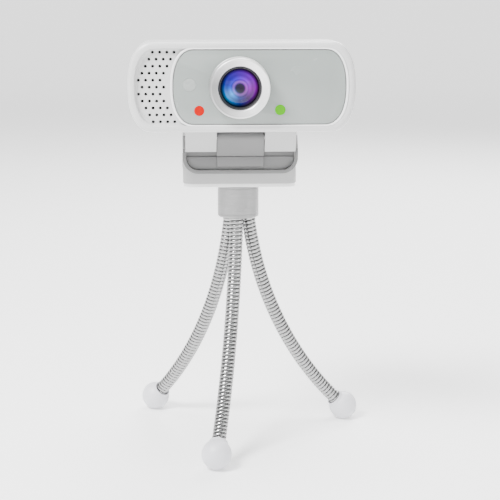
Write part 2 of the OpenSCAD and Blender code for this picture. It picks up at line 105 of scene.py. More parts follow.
class Maker:
    """A material's node tree, with short ways to add and join nodes."""

    def __init__(self, name):
        self.material = bpy.data.materials.new(name)
        self.material.use_nodes = True
        self.tree = self.material.node_tree
        self.shader = self.tree.nodes["Principled BSDF"]
        self.coords = self.tree.nodes.new("ShaderNodeTexCoord").outputs["Object"]

    def node(self, kind, **values):
        made = self.tree.nodes.new(kind)
        for key, value in values.items():
            if key in made.inputs:
                made.inputs[key].default_value = value
            else:
                setattr(made, key, value)
        return made

    def join(self, source, target):
        self.tree.links.new(source, target)

    def noise(self, scale, detail=3.0):
        made = self.node("ShaderNodeTexNoise")
        made.inputs["Scale"].default_value = scale
        made.inputs["Detail"].default_value = detail
        self.join(self.coords, made.inputs["Vector"])
        return made.outputs["Fac"]

    def ramp(self, source, stops):
        made = self.node("ShaderNodeValToRGB")
        ramp = made.color_ramp
        while len(ramp.elements) < len(stops):
            ramp.elements.new(0.5)
        for element, (place, colour) in zip(ramp.elements, stops):
            element.position = place
            element.color = colour
        self.join(source, made.inputs["Fac"])
        return made.outputs["Color"]

    def spread(self, source, low, high):
        made = self.node("ShaderNodeMapRange")
        made.inputs["To Min"].default_value = low
        made.inputs["To Max"].default_value = high
        self.join(source, made.inputs["Value"])
        return made.outputs["Result"]

    def bump(self, source, strength, distance):
        made = self.node("ShaderNodeBump")
        made.inputs["Strength"].default_value = strength
        made.inputs["Distance"].default_value = distance
        self.join(source, made.inputs["Height"])
        self.join(made.outputs["Normal"], self.shader.inputs["Normal"])

    def set(self, **values):
        for key, value in values.items():
            self.shader.inputs[key.replace("_", " ")].default_value = value
        return self


def grey(value, warmth=0.0):
    return (value + warmth, value, value - warmth, 1.0)


def speckled(maker, colour, contrast, scale):
    """Base colour that wanders a little, as moulded or wound stock does."""
    dark = tuple(c * (1 - contrast) for c in colour[:3]) + (1.0,)
    light = tuple(min(1.0, c * (1 + contrast)) for c in colour[:3]) + (1.0,)
    maker.join(maker.ramp(maker.noise(scale), [(0.3, dark), (0.7, light)]),
               maker.shader.inputs["Base Color"])


def plastic(name, colour, roughness, grain=0.02 * MM, grain_scale=2600.0, coat=0.0):
    """Moulded plastic: fine spark-eroded grain, slightly uneven gloss."""
    maker = Maker(name)
    speckled(maker, colour, 0.015, 90.0)
    maker.join(maker.spread(maker.noise(240.0), roughness * 0.86, roughness * 1.14),
               maker.shader.inputs["Roughness"])
    maker.bump(maker.noise(grain_scale, 2.0), 0.35, grain)
    maker.set(Coat_Weight=coat, Coat_Roughness=0.12)
    return maker.material


def rubber(name, colour):
    """Soft pad: matt, with a fine dimpled skin and dusty variation."""
    maker = Maker(name)
    speckled(maker, colour, 0.09, 160.0)
    cells = maker.node("ShaderNodeTexVoronoi")
    cells.inputs["Scale"].default_value = 1500.0
    maker.join(maker.coords, cells.inputs["Vector"])
    maker.bump(cells.outputs["Distance"], 0.5, 0.06 * MM)
    maker.join(maker.spread(maker.noise(500.0), 0.55, 0.75), maker.shader.inputs["Roughness"])
    maker.set(Sheen_Weight=0.12, Sheen_Roughness=0.5)
    return maker.material


def metal(name, colour, low, high, scale=(900.0, 900.0, 900.0), bump=0.01 * MM):
    """Bare metal with brushed or turned streaks along the axis of the smallest scale."""
    maker = Maker(name)
    stretch = maker.node("ShaderNodeMapping")
    stretch.inputs["Scale"].default_value = scale
    maker.join(maker.coords, stretch.inputs["Vector"])
    streaks = maker.node("ShaderNodeTexNoise")
    streaks.inputs["Scale"].default_value = 1.0
    streaks.inputs["Detail"].default_value = 4.0
    maker.join(stretch.outputs["Vector"], streaks.inputs["Vector"])
    maker.join(maker.spread(streaks.outputs["Fac"], low, high), maker.shader.inputs["Roughness"])
    maker.bump(streaks.outputs["Fac"], 0.3, bump)
    speckled(maker, colour, 0.04, 300.0)
    maker.set(Metallic=1.0)
    return maker.material


def around_lens(maker):
    """Distance from the lens axis in metres, and the turn about it from 0 to 1."""
    split = maker.node("ShaderNodeSeparateXYZ")
    maker.join(maker.coords, split.inputs["Vector"])

    def math_node(operation, first, second):
        made = maker.node("ShaderNodeMath", operation=operation)
        for slot, value in zip(made.inputs, (first, second)):
            if isinstance(value, (int, float)):
                slot.default_value = value
            else:
                maker.join(value, slot)
        return made.outputs[0]

    across = math_node("SUBTRACT", split.outputs["X"], LENS_X)
    up = math_node("SUBTRACT", split.outputs["Z"], LENS_Z)
    radius = math_node("SQRT", math_node("ADD", math_node("MULTIPLY", across, across),
                                         math_node("MULTIPLY", up, up)), 0.0)
    turn = math_node("DIVIDE", math_node("ARCTAN2", up, across), 2 * math.pi)
    turn = math_node("FRACT", math_node("ADD", turn, 1.0), 0.0)
    return radius, turn, math_node


def lens_painted_reflection():
    """Painted reflection over dark glass, set to glow: violet, magenta and cyan swept round the lens
    axis, with a pink inner ring.
    """
    maker = Maker("lens_painted_reflection")
    radius, turn, math_node = around_lens(maker)
    # painted reflection: colour by the turn about the lens axis stands in for lights reflected in the
    # coated glass
    hue = maker.ramp(turn, [(0.0, (0.32, 0.004, 0.46, 1)), (0.14, (0.24, 0.012, 0.55, 1)),
                            (0.30, (0.10, 0.020, 0.50, 1)), (0.46, (0.012, 0.040, 0.46, 1)),
                            (0.60, (0.003, 0.36, 0.72, 1)), (0.74, (0.002, 0.035, 0.26, 1)),
                            (0.86, (0.09, 0.002, 0.18, 1)), (1.0, (0.32, 0.004, 0.46, 1))])
    part = math_node("DIVIDE", radius, GLASS_R)
    # painted reflection: brighter and darker rings by the distance from the lens axis
    shade = maker.ramp(part, [(0.0, grey(0.05)), (0.20, grey(0.03)), (0.30, grey(0.35)),
                              (0.42, grey(0.55)), (0.50, grey(1.0)), (0.66, grey(0.62)),
                              (0.80, grey(0.80)), (0.93, grey(0.20)), (1.0, grey(0.01))])
    # painted reflection: a pink ring of reflected light inside the glass, dark elsewhere
    painted_inner_ring = maker.ramp(part, [(0.0, (0.004, 0.002, 0.012, 1)), (0.24, (0.01, 0.004, 0.05, 1)),
                             (0.33, (0.34, 0.09, 0.42, 1)), (0.39, (0.16, 0.05, 0.30, 1)),
                             (0.45, (0.0, 0.0, 0.0, 1)), (1.0, (0.0, 0.0, 0.0, 1))])
    painted_reflection = mixed_colour(maker, "MULTIPLY", hue, shade)
    result = mixed_colour(maker, "ADD", painted_reflection, painted_inner_ring)
    # the painted reflection is also made to glow, though the glass is no lamp
    maker.join(result, maker.shader.inputs["Emission Color"])
    maker.join(mixed_colour(maker, "MULTIPLY", result, painted_reflection), maker.shader.inputs["Base Color"])
    maker.set(Emission_Strength=0.9, Roughness=0.05, IOR=1.45, Specular_IOR_Level=0.35)
    return maker.material


def mixed_colour(maker, blend, first, second):
    made = maker.node("ShaderNodeMix", data_type="RGBA", blend_type=blend)
    made.inputs["Factor"].default_value = 1.0
    slots = [slot for slot in made.inputs if slot.type == "RGBA"]
    maker.join(first, slots[0])
    maker.join(second, slots[1])
    return [slot for slot in made.outputs if slot.type == "RGBA"][0]


def ring_metal():
    """Satin turned aluminium, with very fine turning marks about the lens axis, and a painted
    reflection: base colour lighter and darker by the turn about the axis.
    """
    maker = Maker("ring_metal")
    radius, turn, math_node = around_lens(maker)
    marks = math_node("SINE", math_node("MULTIPLY", radius, 2 * math.pi / (0.16 * MM)), 0.0)
    maker.bump(marks, 0.10, 0.01 * MM)
    # painted reflection: lighter and darker by the turn about the lens axis, standing in for lights
    # reflected in the ring
    painted_sweep = maker.ramp(turn, [(0.0, grey(0.88)), (0.15, grey(0.92)), (0.32, grey(0.62)),
                             (0.48, grey(0.30)), (0.62, grey(0.38)), (0.78, grey(0.74)),
                             (1.0, grey(0.88))])
    maker.join(painted_sweep, maker.shader.inputs["Base Color"])
    maker.join(maker.spread(maker.noise(500.0), 0.26, 0.36), maker.shader.inputs["Roughness"])
    maker.set(Metallic=0.55)
    return maker.material


def panel_paint():
    """Light grey acrylic window: back-printed colour under a clear glossy face."""
    maker = Maker("panel_paint")
    speckled(maker, (0.232, 0.256, 0.245), 0.03, 30.0)
    maker.join(maker.spread(maker.noise(120.0), 0.22, 0.30), maker.shader.inputs["Roughness"])
    maker.bump(maker.noise(60.0, 1.0), 0.06, 0.03 * MM)
    maker.set(Coat_Weight=0.35, Coat_Roughness=0.05)
    return maker.material


def lamp_material(name, colour, glow):
    """Diffusing light pipe, glowing evenly, with a slightly uneven plastic colour."""
    maker = Maker(name)
    speckled(maker, colour, 0.08, 700.0)
    maker.shader.inputs["Emission Color"].default_value = colour
    maker.set(Emission_Strength=glow, Roughness=0.45, Specular_IOR_Level=0.05)
    return maker.material


WHITE = plastic("shell_plastic", grey(0.54), 0.34, coat=0.12)
TRIM = plastic("trim_plastic", grey(0.78), 0.22, grain=0.006 * MM, coat=0.4)
CLIP = plastic("clip_plastic", grey(0.335), 0.38)
BRACKET = plastic("bracket_plastic", grey(0.41), 0.36)
INLAY = plastic("inlay_plastic", grey(0.14), 0.45)
SLEEVE = plastic("sleeve_plastic", grey(0.06), 0.45)
BLACK = plastic("black_plastic", grey(0.012), 0.5)
FLOOR_WHITE = plastic("floor_cover_plastic", grey(0.74), 0.3, coat=0.2)
PAD = rubber("pad_rubber", grey(0.08))
BASE_PAD = rubber("base_pad_rubber", grey(0.065))
FELT = rubber("grille_felt_cloth", grey(0.012))
FOOT = plastic("foot_rubber", (0.60, 0.60, 0.63, 1.0), 0.4, grain=0.03 * MM, grain_scale=1600.0)
GLAND = plastic("gland_rubber", grey(0.7), 0.5, grain=0.03 * MM)
PANEL = panel_paint()
RING = ring_metal()
# lens glass: painted reflection, set to glow
LENS_REFLECTION_PAINT = lens_painted_reflection()
STEEL = metal("screw_steel", grey(0.62), 0.2, 0.34)
HOSE = metal("hose_steel", grey(0.36), 0.16, 0.3, scale=(1500.0, 1500.0, 300.0))
# near-black steel as painted shade in the hose's grooves
HOSE_GROOVE_SHADE = metal("hose_groove_painted_shade", grey(0.03), 0.4, 0.6)
COLLAR = metal("collar_metal", grey(0.27), 0.22, 0.36, scale=(80.0, 80.0, 2600.0))
BRASS = metal("insert_brass", (0.75, 0.56, 0.24, 1.0), 0.25, 0.4)
BALLAST = metal("ballast_steel", grey(0.3), 0.35, 0.5)
BOARD = plastic("board_mask", (0.02, 0.16, 0.08, 1.0), 0.3, coat=0.4)
RED = lamp_material("red_glow", (0.36, 0.001, 0.0, 1.0), 0.6)
GREEN = lamp_material("green_glow", (0.060, 0.30, 0.0, 1.0), 0.6)
CLEAR = lamp_material("clear_glow", (0.29, 0.31, 0.30, 1.0), 0.05)


# ---------------------------------------------------------------- mesh helpers

def new_object(name, verts, faces, material, sharp=32.0):
    mesh = bpy.data.meshes.new(name)
    mesh.from_pydata(verts, [], faces)
    mesh.update()
    obj = bpy.data.objects.new(name, mesh)
    bpy.context.scene.collection.objects.link(obj)
    finish_mesh(obj, material, sharp)
    return obj


def finish_mesh(obj, material, sharp=32.0):
    """Outward normals, smooth shading split at sharp edges, and one material."""
    mesh = obj.data
    work = bmesh.new()
    work.from_mesh(mesh)
    bmesh.ops.remove_doubles(work, verts=work.verts, dist=1e-7)
    bmesh.ops.recalc_face_normals(work, faces=work.faces)
    work.to_mesh(mesh)
    work.free()
    mesh.shade_smooth()
    mesh.set_sharp_from_angle(angle=math.radians(sharp))
    mesh.materials.clear()
    mesh.materials.append(material)


def skin(rings, cap_start=True, cap_end=True):
    """Faces between rings of equal length, each ring closed on itself."""
    count = len(rings[0])
    verts = [point for ring in rings for point in ring]
    faces = []
    for ring in range(len(rings) - 1):
        for i in range(count):
            j = (i + 1) % count
            a, b = ring * count, (ring + 1) * count
            faces.append((a + i, a + j, b + j, b + i))
    if cap_start:
        faces.append(tuple(range(count)))
    if cap_end:
        last = (len(rings) - 1) * count
        faces.append(tuple(last + i for i in reversed(range(count))))
    return verts, faces


def closed_skin(rings):
    """Faces through the rings and back from the last to the first, as a tube bent round."""
    verts, faces = skin(rings, False, False)
    count = len(rings[0])
    last = (len(rings) - 1) * count
    for i in range(count):
        j = (i + 1) % count
        faces.append((last + i, last + j, j, i))
    return verts, faces


def pill_ring(width, height, y, x=None, steps=40):
    """The head's outline: straight top and bottom, softly squared round ends."""
    middle = HEAD_X if x is None else x
    bulge = 0.58 * height / 2
    power = 2 / 2.3
    points = []
    for side in (0.0, math.pi):
        sign = 1 if side == 0.0 else -1
        for step in range(steps + 1):
            turn = -math.pi / 2 + math.pi * step / steps + side
            c = math.cos(turn)
            s = math.sin(turn)
            reach = math.copysign(abs(c) ** power, c) if abs(c) > 1e-9 else 0.0
            rise = math.copysign(abs(s) ** power, s)
            px = middle + sign * (width / 2 - bulge) + bulge * reach
            points.append((px, y, HEAD_Z + height / 2 * rise))
    return points


def inset_ring(inset, y):
    return pill_ring(HEAD_W - 2 * inset, HEAD_H - 2 * inset, y)


def arc(radius, start, stop, steps):
    """Offsets along an arc between two angles in degrees: (cos, sin) times the radius."""
    for step in range(steps + 1):
        turn = math.radians(start + (stop - start) * step / steps)
        yield radius * math.cos(turn), radius * math.sin(turn)


def revolve(name, profile, origin, axis, material, segments=96, closed=True, sharp=32.0):
    """Turn (radius, along) points about an axis from the origin; a closed profile is a ring."""
    along = Vector(axis).normalized()
    side = along.orthogonal().normalized()
    other = along.cross(side)
    rings = []
    for radius, reach in profile:
        ring = []
        for step in range(segments):
            turn = 2 * math.pi * step / segments
            around = side * math.cos(turn) + other * math.sin(turn)
            ring.append(tuple(Vector(origin) + along * reach + around * max(radius, 1e-6)))
        rings.append(ring)
    verts, faces = closed_skin(rings) if closed else skin(rings)
    return new_object(name, verts, faces, material, sharp)


def apply_modifiers(obj):
    graph = bpy.context.evaluated_depsgraph_get()
    mesh = bpy.data.meshes.new_from_object(obj.evaluated_get(graph))
    obj.modifiers.clear()
    old = obj.data
    obj.data = mesh
    bpy.data.meshes.remove(old)


def cut(obj, tools):
    """Take each tool object away from the piece in turn; the tools are deleted."""
    for tool in tools:
        modifier = obj.modifiers.new("cut", "BOOLEAN")
        modifier.operation = "DIFFERENCE"
        modifier.solver = "EXACT"
        modifier.object = tool
        bpy.context.view_layer.update()
        apply_modifiers(obj)
        mesh = tool.data
        bpy.data.objects.remove(tool)
        bpy.data.meshes.remove(mesh)


def rod(name, radius, start, end, segments=48):
    start, end = Vector(start), Vector(end)
    length = (end - start).length
    return revolve(name, [(radius, 0.0), (radius, length)], start, end - start, BLACK,
                   segments, closed=False)


def softened(node, width, material, segments=3, sharp=40.0):
    """The CAD node's shape with its edges rounded, standing for the node."""
    source = frame["nodes"][node]
    obj = bpy.data.objects.new(node + "_finish", source.data.copy())
    bpy.context.scene.collection.objects.link(obj)
    obj.matrix_world = source.matrix_world.copy()
    work = bmesh.new()
    work.from_mesh(obj.data)
    bmesh.ops.remove_doubles(work, verts=work.verts, dist=2e-6)
    bmesh.ops.dissolve_limit(work, angle_limit=math.radians(1.5), verts=work.verts,
                             edges=work.edges)
    work.to_mesh(obj.data)
    work.free()
    bevel = obj.modifiers.new("round", "BEVEL")
    bevel.width = width
    bevel.segments = segments
    bevel.limit_method = "ANGLE"
    bevel.angle_limit = math.radians(sharp)
    bevel.use_clamp_overlap = True
    bevel.harden_normals = False
    bpy.context.view_layer.update()
    apply_modifiers(obj)
    finish_mesh(obj, material, 38.0)
    stands_for(obj, node)
    return obj


def body_of(node):
    for body, nodes in frame["record"]["behaviour"]["bodies"].items():
        if node in nodes:
            return body
    return "root"


def stands_for(obj, node):
    """Ride with the node's body, and hide the node."""
    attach(obj, body_of(node))
    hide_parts(node)


def paint(node, material):
    obj = frame["nodes"][node]
    for slot in obj.material_slots:
        slot.material = material
    if not obj.material_slots:
        obj.data.materials.append(material)


# ---------------------------------------------------------------- camera head

def mic_hole_places():
    """Rows of four holes in an arrow pattern on the left of the front."""
    pitch_x, pitch_z = 3.0 * MM, 2.9 * MM
    left = HEAD_X - 43.3 * MM
    for row in range(-5, 6):
        start = abs(abs(row) - 1)
        for hole in range(4):
            yield left + pitch_x * (start / 2 + hole), HEAD_Z - row * pitch_z


def build_front_shell():
    """Bezel: rounded lip, dished floor, hollow behind, and the microphone holes."""
    lip = 2.1 * MM
    rings = [inset_ring(0.25 * MM, SPLIT_Y), inset_ring(0.05 * MM, SPLIT_Y - 0.25 * MM),
             inset_ring(0.0, SPLIT_Y - 0.6 * MM)]
    for reach, rise in arc(lip, 0, 84, 10):
        rings.append(inset_ring(lip - reach, FRONT_Y + lip - rise))
    crest = 2.35 * MM
    rings.append(inset_ring(crest, FRONT_Y))
    slope = 1.1 * MM
    for reach, rise in arc(slope, 75, 0, 6):
        rings.append(inset_ring(crest + 0.25 * MM + reach * 0.55,
                                FRONT_Y + (slope - rise) * 1.2))
    rings.append(inset_ring(crest + 1.15 * MM, DISH_Y - 0.25 * MM))
    rings.append(inset_ring(crest + 1.6 * MM, DISH_Y - 0.04 * MM))
    rings.append(inset_ring(crest + 2.0 * MM, DISH_Y))
    rings.append(inset_ring(crest + 3.5 * MM, DISH_Y))
    back = DISH_Y + 2 * MM
    inner = [inset_ring(crest + 3.5 * MM, back), inset_ring(SHELL_WALL, back),
             inset_ring(SHELL_WALL, SPLIT_Y)]
    outside, outside_faces = skin(rings, cap_start=False)
    inside, inside_faces = skin(inner, cap_end=False)
    count = len(rings[0])
    shift = len(outside)
    faces = outside_faces + [tuple(v + shift for v in face) for face in inside_faces]
    seam = shift + len(inside) - count
    for i in range(count):
        j = (i + 1) % count
        faces.append((seam + i, seam + j, j, i))
    shell = new_object("front_bezel", outside + inside, faces, WHITE)
    holes = [rod("hole", MIC_HOLE_R, (x, FRONT_Y, z), (x, SPLIT_Y, z), 20)
             for x, z in mic_hole_places()]
    tool = holes[0]
    with bpy.context.temp_override(active_object=tool, selected_editable_objects=holes,
                                   selected_objects=holes):
        bpy.ops.object.join()
    opening = rod("opening", 11.0 * MM, (LENS_X, FRONT_Y, LENS_Z), (LENS_X, SPLIT_Y, LENS_Z))
    cut(shell, [tool, opening])
    finish_mesh(shell, WHITE, 30.0)
    stands_for(shell, "front_shell")


def rear_rings(inset, start_y):
    """Rounded back of the head, from the seam to the flat of the back."""
    rings = [inset_ring(inset + 0.25 * MM, start_y),
             inset_ring(inset + 0.05 * MM, start_y + 0.25 * MM),
             inset_ring(inset, start_y + 0.6 * MM)]
    bend_y = SPLIT_Y + 15.5 * MM
    depth = BACK_Y - inset - bend_y
    pull_x, pull_z = 6.6 * MM, 6.1 * MM
    steps = 18
    for step in range(steps + 1):
        turn = math.radians(90 * step / steps)
        part = 1 - math.cos(turn) ** 0.9
        y = bend_y + depth * math.sin(turn)
        width = HEAD_W - 2 * inset - 2 * pull_x * part
        height = HEAD_H - 2 * inset - 2 * pull_z * part
        rings.append(pill_ring(width, height, y))
    last_w = HEAD_W - 2 * inset - 2 * pull_x
    last_h = HEAD_H - 2 * inset - 2 * pull_z
    rings.append(pill_ring(last_w - 3 * MM, last_h - 3 * MM, BACK_Y - inset))
    return rings


def build_rear_shell():
    """Hollow back of the head, with screw bosses, the swivel's recess and the gland's hole."""
    verts, faces = skin(rear_rings(0.0, SPLIT_Y))
    shell = new_object("rear_cover", verts, faces, WHITE)
    mouth = inset_ring(SHELL_WALL, SPLIT_Y - 1 * MM)
    verts, faces = skin([mouth] + rear_rings(SHELL_WALL, SPLIT_Y))
    cavity = new_object("cavity", verts, faces, WHITE)
    tilt_x, tilt_y, tilt_z = box_mid("tilt_pin")
    hub = rod("hub", 13.5 * MM, (tilt_x, tilt_y, tilt_z), (tilt_x, tilt_y, tilt_z + 8.6 * MM), 64)
    low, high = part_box("shell_screws")
    head_r = 2.2 * MM
    screw_places = [(x, z) for x in (low[0] + head_r, high[0] - head_r)
                    for z in (low[2] + head_r, high[2] - head_r)]
    bosses = [rod("boss", 3.1 * MM, (x, high[1] - 4.5 * MM, z), (x, BACK_Y, z), 40)
              for x, z in screw_places]
    cut(cavity, [hub] + bosses)
    tools = [cavity]
    tools.append(rod("recess", 11.8 * MM, (tilt_x, tilt_y, tilt_z),
                     (tilt_x, tilt_y, tilt_z + 6.3 * MM), 96))
    tools.append(rod("bore", 3.25 * MM, (tilt_x, tilt_y, tilt_z + 5 * MM),
                     (tilt_x, tilt_y, tilt_z + 12 * MM)))
    seat = high[1] - 1.6 * MM
    for x, z in screw_places:
        tools.append(rod("well", 2.5 * MM, (x, seat, z), (x, BACK_Y + 1 * MM, z)))
        tools.append(rod("shank", 1.3 * MM, (x, seat - 4 * MM, z), (x, seat + 1 * MM, z)))
    gland_x, _, gland_z = box_mid("cable_gland")
    tools.append(rod("gland_hole", 2.6 * MM, (gland_x, BACK_Y - 4 * MM, gland_z),
                     (gland_x, BACK_Y + 1 * MM, gland_z)))
    cut(shell, tools)
    finish_mesh(shell, WHITE, 30.0)
    stands_for(shell, "rear_shell")


def build_panel():
    """Bright rounded trim frame, and the grey window let into it."""
    low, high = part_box("panel_rim")
    mid_x = (low[0] + high[0]) / 2
    width, height = high[0] - low[0], high[2] - low[2]
    window_w, window_h = PANEL_HIGH[0] - PANEL_LOW[0], PANEL_HIGH[2] - PANEL_LOW[2]
    side_in, top_in = (width - window_w) / 2, (height - window_h) / 2

    def ring(part, y):
        return pill_ring(width - 2 * side_in * part, height - 2 * top_in * part, y, mid_x)

    crest = low[1]
    rings = [ring(0.0, high[1]), ring(0.0, crest + 0.45 * MM), ring(0.08, crest + 0.16 * MM),
             ring(0.25, crest + 0.02 * MM), ring(0.5, crest), ring(0.75, crest + 0.03 * MM),
             ring(0.93, crest + 0.2 * MM), ring(0.97, crest + 0.6 * MM), ring(0.97, high[1])]
    verts, faces = closed_skin(rings)
    trim = new_object("panel_trim", verts, faces, TRIM)
    stands_for(trim, "panel_rim")

    face_y = PANEL_LOW[1]

    def pane(inset, y):
        return pill_ring(window_w - 2 * inset, window_h - 2 * inset, y, mid_x)

    groove = 0.22 * MM
    rings = [pane(groove, PANEL_HIGH[1]), pane(groove, face_y + 0.3 * MM),
             pane(groove + 0.06 * MM, face_y + 0.1 * MM), pane(groove + 0.22 * MM, face_y)]
    verts, faces = skin(rings)
    window = new_object("window_pane", verts, faces, PANEL)
    tools = [rod("lens_opening", 9.3 * MM, (LENS_X, face_y - 1 * MM, LENS_Z),
                 (LENS_X, PANEL_HIGH[1] + 1 * MM, LENS_Z), 96)]
    for node in ("red_lamp", "green_lamp", "light_window"):
        x, _, z = box_mid(node)
        lamp_low, lamp_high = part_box(node)
        radius = (lamp_high[0] - lamp_low[0]) / 2
        tools.append(rod("lamp_hole", radius + 0.03 * MM, (x, face_y - 1 * MM, z),
                         (x, PANEL_HIGH[1] + 1 * MM, z)))
    cut(window, tools)
    finish_mesh(window, PANEL, 30.0)
    stands_for(window, "front_panel")


def build_lamp(node, material):
    """Light pipe with a shallow domed face."""
    low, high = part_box(node)
    radius = (high[0] - low[0]) / 2
    x, _, z = box_mid(node)
    profile = [(radius, high[1] - low[1]), (radius, 0.14 * MM), (radius * 0.97, 0.06 * MM),
               (radius * 0.85, 0.03 * MM), (radius * 0.5, 0.005 * MM), (0.0, 0.0)]
    lamp = revolve(node + "_pipe", profile, (x, low[1], z), (0, 1, 0), material, 48, closed=False)
    stands_for(lamp, node)


def build_lens():
    """Stepped black barrel, the front glass, and the turned focus ring around them."""
    origin = (LENS_X, FRONT_Y, LENS_Z)
    axis = (0, 1, 0)
    barrel = [(9.0, -6.1), (8.9, -6.33), (8.7, -6.4), (8.55, -6.3), (8.4, -5.9), (8.33, -5.88),
              (8.25, -5.5), (8.18, -5.48), (8.1, -4.6), (8.1, -2.5), (5.2, -2.5),
              (5.2, 5.0), (4.2, 5.0), (4.2, 9.0), (6.0, 9.0), (6.0, 13.9), (8.0, 13.9), (8.0, 5.6),
              (11.0, 5.6), (11.0, 4.4), (9.0, 4.4)]
    piece = revolve("lens_housing", [(r * MM, y * MM) for r, y in barrel], origin, axis, BLACK, 128)
    stands_for(piece, "lens_barrel")

    dome = [(GLASS_R, GLASS_HIGH[1] - GLASS_LOW[1])]
    sphere_r = 15.6 * MM
    steps = 24
    for step in range(steps + 1):
        radius = GLASS_R * (1 - step / steps)
        dome.append((radius, sphere_r - math.sqrt(sphere_r ** 2 - radius ** 2)))
    # the front glass takes the painted, glowing reflection
    glass = revolve("front_glass", dome, (LENS_X, GLASS_LOW[1], LENS_Z), axis, LENS_REFLECTION_PAINT, 96,
                    closed=False, sharp=50.0)
    stands_for(glass, "front_lens")

    reach = (FRONT_Y - RING_LOW[1]) / MM
    outer = RING_R / MM
    profile = [(outer, -0.3), (outer - 0.02, -1.2)]
    for groove in range(3):
        y = -1.5 - groove * 0.5
        profile += [(outer - 0.05, y), (outer - 0.16, y - 0.08), (outer - 0.16, y - 0.22),
                    (outer - 0.06, y - 0.3)]
    profile += [(outer - 0.26, 1.0 - reach), (outer - 0.34, 0.45 - reach),
                (outer - 0.62, 0.1 - reach), (outer - 0.95, -reach), (outer - 1.15, 0.05 - reach)]
    start_r, end_r = outer - 1.3, 9.6
    fine_steps = 7
    for step in range(fine_steps):
        radius = start_r + (end_r - start_r) * step / fine_steps
        y = 0.12 - reach + 0.75 * step / fine_steps
        profile += [(radius, y), (radius - 0.16, y + 0.02), (radius - 0.2, y + 0.1)]
    profile += [(9.45, 0.95 - reach), (9.2, 1.1 - reach), (9.05, 1.4 - reach), (9.05, -0.3)]
    ring = revolve("focus_grip", [(r * MM, y * MM) for r, y in profile], origin, axis, RING, 160,
                   sharp=40.0)
    stands_for(ring, "focus_ring")


def build_felt():
    """Black felt behind the whole field of microphone holes."""
    edge = HEAD_X - 26 * MM
    front = DISH_Y + 2.05 * MM

    def clipped(inset, y):
        return [(min(x, edge), y, z) for x, y, z in inset_ring(inset, y)]

    verts, faces = skin([clipped(2.2 * MM, front + 0.7 * MM), clipped(2.0 * MM, front + 0.35 * MM),
                         clipped(2.2 * MM, front)])
    felt = new_object("grille_felt", verts, faces, FELT)
    stands_for(felt, "mic_felt")


def build_gland():
    """Stepped rubber gland with three ribs, open at its end."""
    low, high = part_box("cable_gland")
    x, _, z = box_mid("cable_gland")
    length = (high[1] - low[1]) / MM
    profile = [(1.7, 0.0), (2.55, 0.0), (2.55, 1.8), (3.9, 1.8), (4.2, 2.0), (4.2, 2.75),
               (4.0, 2.95), (3.4, 3.0)]
    ribs = 3
    for rib in range(ribs):
        y = 3.2 + rib * 0.95
        radius = 3.2 - 0.2 * rib
        profile += [(radius, y), (radius, y + 0.5), (radius - 0.3, y + 0.6),
                    (radius - 0.3, y + 0.85)]
    profile += [(2.6, length - 0.1), (2.4, length), (1.9, length), (1.7, length - 0.2)]
    gland = revolve("lead_gland", [(r * MM, y * MM) for r, y in profile], (x, low[1], z), (0, 1, 0),
                    GLAND, 64)
    stands_for(gland, "cable_gland")


# ---------------------------------------------------------------- tripod

def leg_plane(name):
    """A leg's upright plane: its radial direction, from the collar's axis to its foot."""
    collar_x, collar_y, _ = box_mid("collar")
    foot_x, foot_y, _ = box_mid("foot_" + name)
    return (collar_x, collar_y), Vector((foot_x - collar_x, foot_y - collar_y, 0.0)).normalized()


def leg_arc(name):
    """Centre-line of a leg: a function of the turn from upright, and its two end turns."""
    (collar_x, collar_y), outward = leg_plane(name)
    foot_low, foot_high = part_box("foot_" + name)
    base = Vector((collar_x, collar_y, 0.0))
    tip_z = foot_high[2] - FOOT_R
    start = (LEG_ROOT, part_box("collar")[0][2])
    end = ((Vector(((foot_low[0] + foot_high[0]) / 2, (foot_low[1] + foot_high[1]) / 2, 0.0))
            - base).length, tip_z)
    first = LEG_ROOT_TURN
    chord = math.hypot(end[0] - start[0], start[1] - end[1])
    last = 2 * math.atan2(end[0] - start[0], start[1] - end[1]) - first
    radius = chord / (2 * math.sin((last - first) / 2))
    centre = (start[0] + radius * math.cos(first), start[1] + radius * math.sin(first))

    def place(turn):
        reach = centre[0] - radius * math.cos(turn)
        height = centre[1] - radius * math.sin(turn)
        return base + outward * reach + Vector((0, 0, height))

    def heading(turn):
        return (outward * math.sin(turn) - Vector((0, 0, math.cos(turn)))).normalized()

    return place, heading, first, last, radius, outward


def wound_hose(name, label, place, heading, side, start, stop, radius, phase_start):
    """Wound metal hose along the arc: one convex wire a turn, climbing as a helix."""
    segments = 28
    length = (stop - start) * radius
    count = max(2, round(length / WIRE_PITCH * RINGS_PER_TURN))
    rings = []
    for step in range(count + 1):
        turn = start + (stop - start) * step / count
        centre = place(turn)
        forward = heading(turn)
        other = forward.cross(side).normalized()
        ring = []
        for i in range(segments):
            around = 2 * math.pi * i / segments
            phase = (turn - phase_start) * radius / WIRE_PITCH - around / (2 * math.pi)
            bulge = math.sqrt(max(0.0, 1 - (2 * (phase % 1.0) - 1) ** 2))
            reach = HOSE_R - WIRE_GROOVE * (1 - bulge ** 0.8)
            outward = side * math.cos(around) + other * math.sin(around)
            ring.append(tuple(centre + outward * reach))
        rings.append(ring)
    verts, faces = skin(rings)
    hose = new_object("hose_%s_%s_wound" % (label, name), verts, faces, HOSE, 60.0)
    # second material: painted shade for the grooves between turns of wire
    hose.data.materials.append(HOSE_GROOVE_SHADE)
    paint_groove_shade(hose, place, heading, side, start, radius, phase_start)
    return hose


